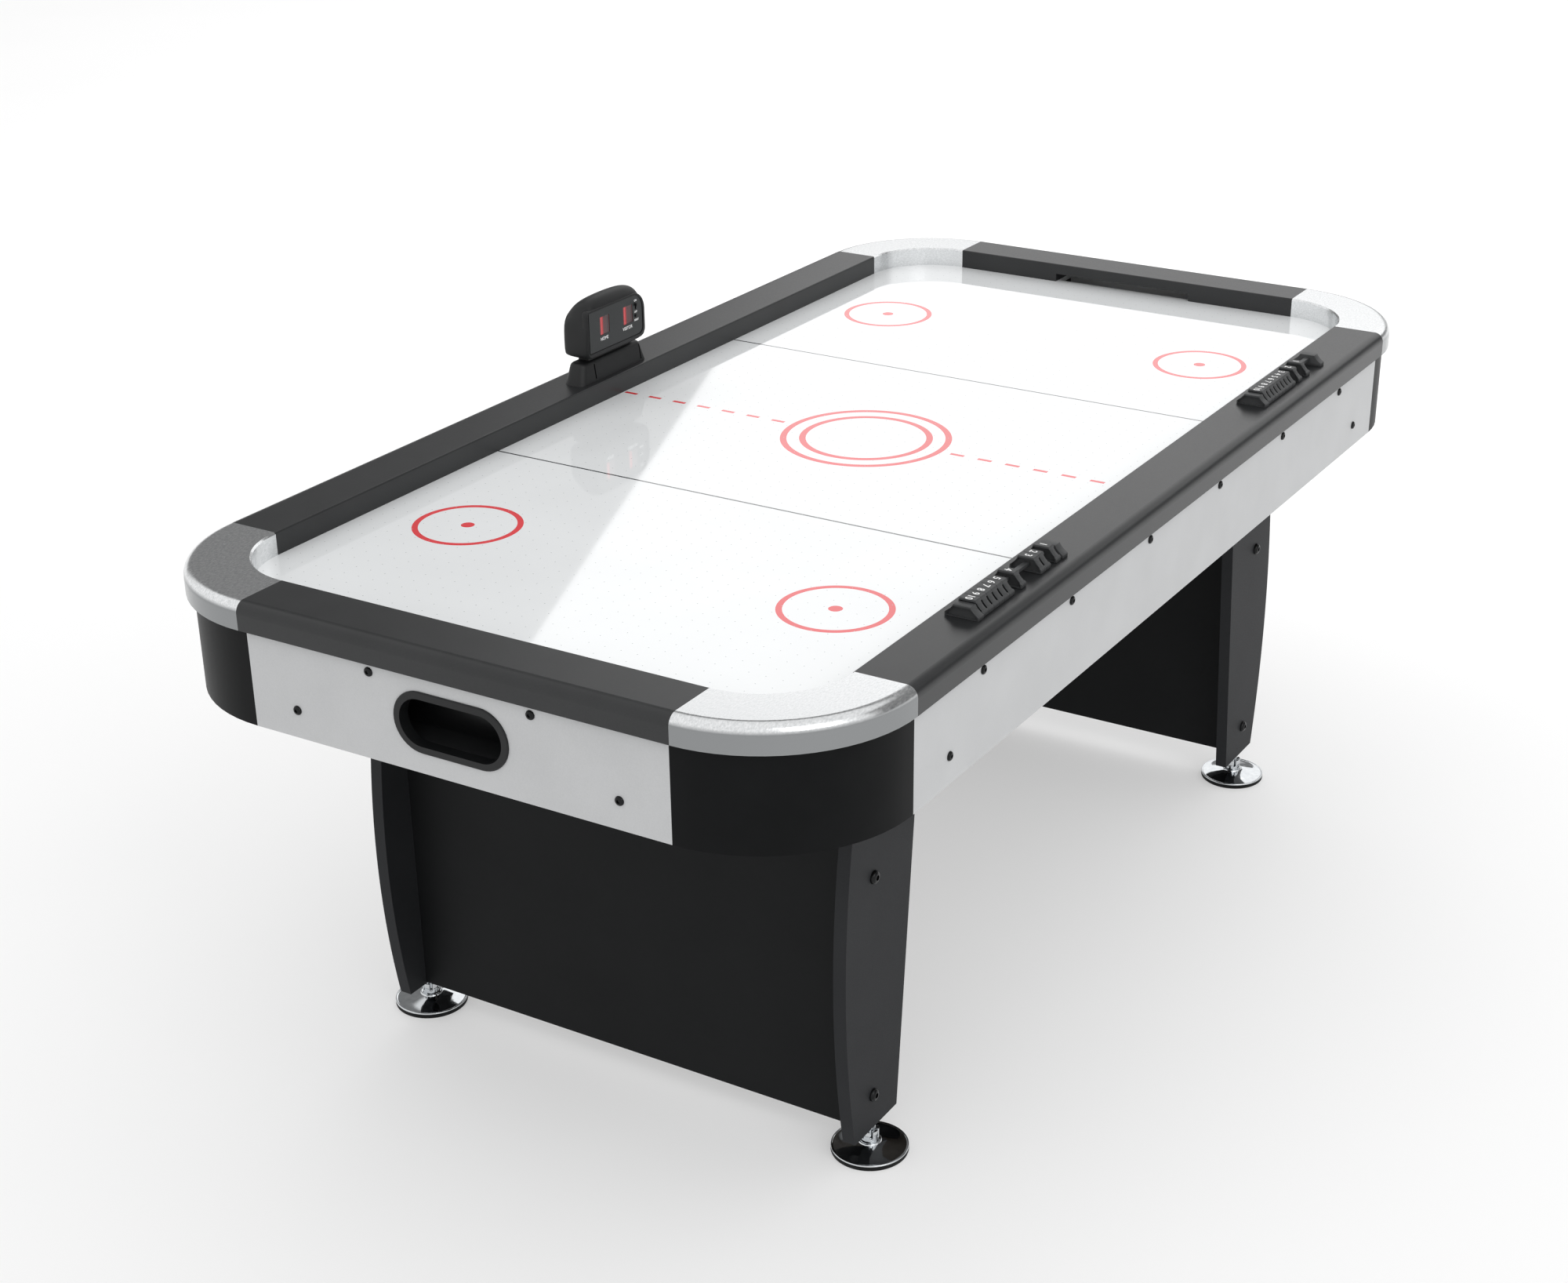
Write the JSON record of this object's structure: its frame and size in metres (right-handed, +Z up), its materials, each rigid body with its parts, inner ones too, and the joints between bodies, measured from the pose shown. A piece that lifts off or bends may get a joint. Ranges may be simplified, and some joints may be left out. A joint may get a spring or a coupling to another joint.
{
  "type": "air hockey table",
  "caption": "Home air hockey table on two leg frames, with a blown playfield, goal slots with puck returns, an electronic scoreboard and manual bead scorers.",
  "frame": {"origin": "on the floor under the middle of the table", "axes": "+X across the table to the side with the bead scorers, +Y along the table from the near goal to the far goal, +Z up"},
  "size_m": [1.1168, 2.13, 0.974],
  "materials": {
    "play_laminate": "white gloss laminate with fine air holes",
    "rail_vinyl": "charcoal satin vinyl wrap",
    "cap_silver": "silver satin",
    "apron_laminate": "light grey satin laminate on board",
    "apron_black": "black satin",
    "leg_laminate": "dark grey satin laminate on board",
    "panel_black": "black satin laminate on board",
    "batten_wood": "plain softwood",
    "foot_chrome": "chrome plate",
    "bezel_black": "black moulded",
    "goal_plastic": "black moulded",
    "hardboard": "hardboard",
    "blower_plastic": "black moulded",
    "impeller_plastic": "black moulded",
    "motor_steel": "zinc plated",
    "guard_steel": "black wire",
    "inlet_plastic": "black moulded",
    "score_plastic": "black textured",
    "score_panel": "black panel",
    "digit_red": "dark red window",
    "control_plastic": "black",
    "scorer_plastic": "black moulded",
    "bead_plastic": "black moulded with white numbers"
  },
  "bodies": {
    "root": {"blower_guard": "guard_steel", "blower_housing": "blower_plastic", "blower_motor": "motor_steel", "chamber_battens": "batten_wood", "chamber_floor": "hardboard", "corner_aprons": "apron_black", "corner_caps": "cap_silver", "digit_windows": "digit_red", "end_apron_far": "apron_laminate", "end_apron_near": "apron_laminate", "end_rail_far": "rail_vinyl", "end_rail_near": "rail_vinyl", "goal_boxes": "goal_plastic", "leg_cleats": "batten_wood", "leg_panel_far": "panel_black", "leg_panel_near": "panel_black", "leg_plate_far_left": "leg_laminate", "leg_plate_far_right": "leg_laminate", "leg_plate_near_left": "leg_laminate", "leg_plate_near_right": "leg_laminate", "mains_inlet": "inlet_plastic", "playfield": "play_laminate", "return_bezels": "bezel_black", "score_face": "score_panel", "score_head": "score_plastic", "score_stand": "score_plastic", "scorer_frames": "scorer_plastic", "side_apron_left": "apron_laminate", "side_apron_right": "apron_laminate", "side_rail_left": "rail_vinyl", "side_rail_right": "rail_vinyl"},
    "foot_far_right": {"foot_far_right": "foot_chrome"},
    "foot_far_left": {"foot_far_left": "foot_chrome"},
    "foot_near_right": {"foot_near_right": "foot_chrome"},
    "foot_near_left": {"foot_near_left": "foot_chrome"},
    "impeller": {"blower_impeller": "impeller_plastic"},
    "power_switch": {"power_switch": "control_plastic"},
    "reset_button": {"reset_button": "control_plastic"},
    "bead_near_1": {"bead_near_1": "bead_plastic"},
    "bead_near_2": {"bead_near_2": "bead_plastic"},
    "bead_near_3": {"bead_near_3": "bead_plastic"},
    "bead_near_4": {"bead_near_4": "bead_plastic"},
    "bead_near_5": {"bead_near_5": "bead_plastic"},
    "bead_near_6": {"bead_near_6": "bead_plastic"},
    "bead_near_7": {"bead_near_7": "bead_plastic"},
    "bead_near_8": {"bead_near_8": "bead_plastic"},
    "bead_near_9": {"bead_near_9": "bead_plastic"},
    "bead_near_10": {"bead_near_10": "bead_plastic"},
    "bead_far_1": {"bead_far_1": "bead_plastic"},
    "bead_far_2": {"bead_far_2": "bead_plastic"},
    "bead_far_3": {"bead_far_3": "bead_plastic"},
    "bead_far_4": {"bead_far_4": "bead_plastic"},
    "bead_far_5": {"bead_far_5": "bead_plastic"},
    "bead_far_6": {"bead_far_6": "bead_plastic"},
    "bead_far_7": {"bead_far_7": "bead_plastic"},
    "bead_far_8": {"bead_far_8": "bead_plastic"},
    "bead_far_9": {"bead_far_9": "bead_plastic"},
    "bead_far_10": {"bead_far_10": "bead_plastic"}
  },
  "joints": [
    {"name": "foot_far_right_level", "type": "slide", "parent": "root", "child": "foot_far_right", "axis": [0, 0, 1], "range_m": [-0.008, 0.008]},
    {"name": "foot_far_left_level", "type": "slide", "parent": "root", "child": "foot_far_left", "axis": [0, 0, 1], "range_m": [-0.008, 0.008]},
    {"name": "foot_near_right_level", "type": "slide", "parent": "root", "child": "foot_near_right", "axis": [0, 0, 1], "range_m": [-0.008, 0.008]},
    {"name": "foot_near_left_level", "type": "slide", "parent": "root", "child": "foot_near_left", "axis": [0, 0, 1], "range_m": [-0.008, 0.008]},
    {"name": "impeller_spin", "type": "hinge", "parent": "root", "child": "impeller", "pos_m": [0, 0, 0.69], "axis": [0, 0, 1], "continuous": true},
    {"name": "power_switch_slide", "type": "slide", "parent": "root", "child": "power_switch", "axis": [0, 0, 1], "range_m": [-0.005, 0]},
    {"name": "reset_button_press", "type": "slide", "parent": "root", "child": "reset_button", "axis": [-1, 0, 0], "range_m": [0, 0.0012], "stiffness_N_per_m": 400},
    {"name": "bead_near_10_slide", "type": "slide", "parent": "root", "child": "bead_near_10", "axis": [0, 1, 0], "range_m": [0, 0.0088]},
    {"name": "bead_near_9_slide", "type": "slide", "parent": "bead_near_10", "child": "bead_near_9", "axis": [0, 1, 0], "range_m": [0, 0.0088]},
    {"name": "bead_near_8_slide", "type": "slide", "parent": "bead_near_9", "child": "bead_near_8", "axis": [0, 1, 0], "range_m": [0, 0.0088]},
    {"name": "bead_near_7_slide", "type": "slide", "parent": "bead_near_8", "child": "bead_near_7", "axis": [0, 1, 0], "range_m": [0, 0.0088]},
    {"name": "bead_near_6_slide", "type": "slide", "parent": "bead_near_7", "child": "bead_near_6", "axis": [0, 1, 0], "range_m": [0, 0.0088]},
    {"name": "bead_near_5_slide", "type": "slide", "parent": "bead_near_6", "child": "bead_near_5", "axis": [0, 1, 0], "range_m": [0, 0.019]},
    {"name": "bead_far_10_slide", "type": "slide", "parent": "root", "child": "bead_far_10", "axis": [0, 1, 0], "range_m": [0, 0.003]},
    {"name": "bead_far_9_slide", "type": "slide", "parent": "bead_far_10", "child": "bead_far_9", "axis": [0, 1, 0], "range_m": [0, 0.003]},
    {"name": "bead_far_8_slide", "type": "slide", "parent": "bead_far_9", "child": "bead_far_8", "axis": [0, 1, 0], "range_m": [0, 0.003]},
    {"name": "bead_far_7_slide", "type": "slide", "parent": "bead_far_8", "child": "bead_far_7", "axis": [0, 1, 0], "range_m": [0, 0.003]},
    {"name": "bead_far_6_slide", "type": "slide", "parent": "bead_far_7", "child": "bead_far_6", "axis": [0, 1, 0], "range_m": [0, 0.003]},
    {"name": "bead_far_5_slide", "type": "slide", "parent": "bead_far_6", "child": "bead_far_5", "axis": [0, 1, 0], "range_m": [0, 0.003]},
    {"name": "bead_far_4_slide", "type": "slide", "parent": "bead_far_5", "child": "bead_far_4", "axis": [0, 1, 0], "range_m": [0, 0.003]},
    {"name": "bead_far_3_slide", "type": "slide", "parent": "bead_far_4", "child": "bead_far_3", "axis": [0, 1, 0], "range_m": [0, 0.015]},
    {"name": "bead_near_4_slide", "type": "slide", "parent": "root", "child": "bead_near_4", "axis": [0, 1, 0], "range_m": [-0.019, 0.044]},
    {"name": "bead_near_3_slide", "type": "slide", "parent": "root", "child": "bead_near_3", "axis": [0, 1, 0], "range_m": [-0.044, 0]},
    {"name": "bead_near_2_slide", "type": "slide", "parent": "root", "child": "bead_near_2", "axis": [0, 1, 0], "range_m": [0, 0.0158]},
    {"name": "bead_near_1_slide", "type": "slide", "parent": "root", "child": "bead_near_1", "axis": [0, 1, 0], "range_m": [-0.0158, 0.0042]},
    {"name": "bead_far_2_slide", "type": "slide", "parent": "root", "child": "bead_far_2", "axis": [0, 1, 0], "range_m": [-0.015, 0.021]},
    {"name": "bead_far_1_slide", "type": "slide", "parent": "root", "child": "bead_far_1", "axis": [0, 1, 0], "range_m": [-0.021, 0.0475]}
  ]
}
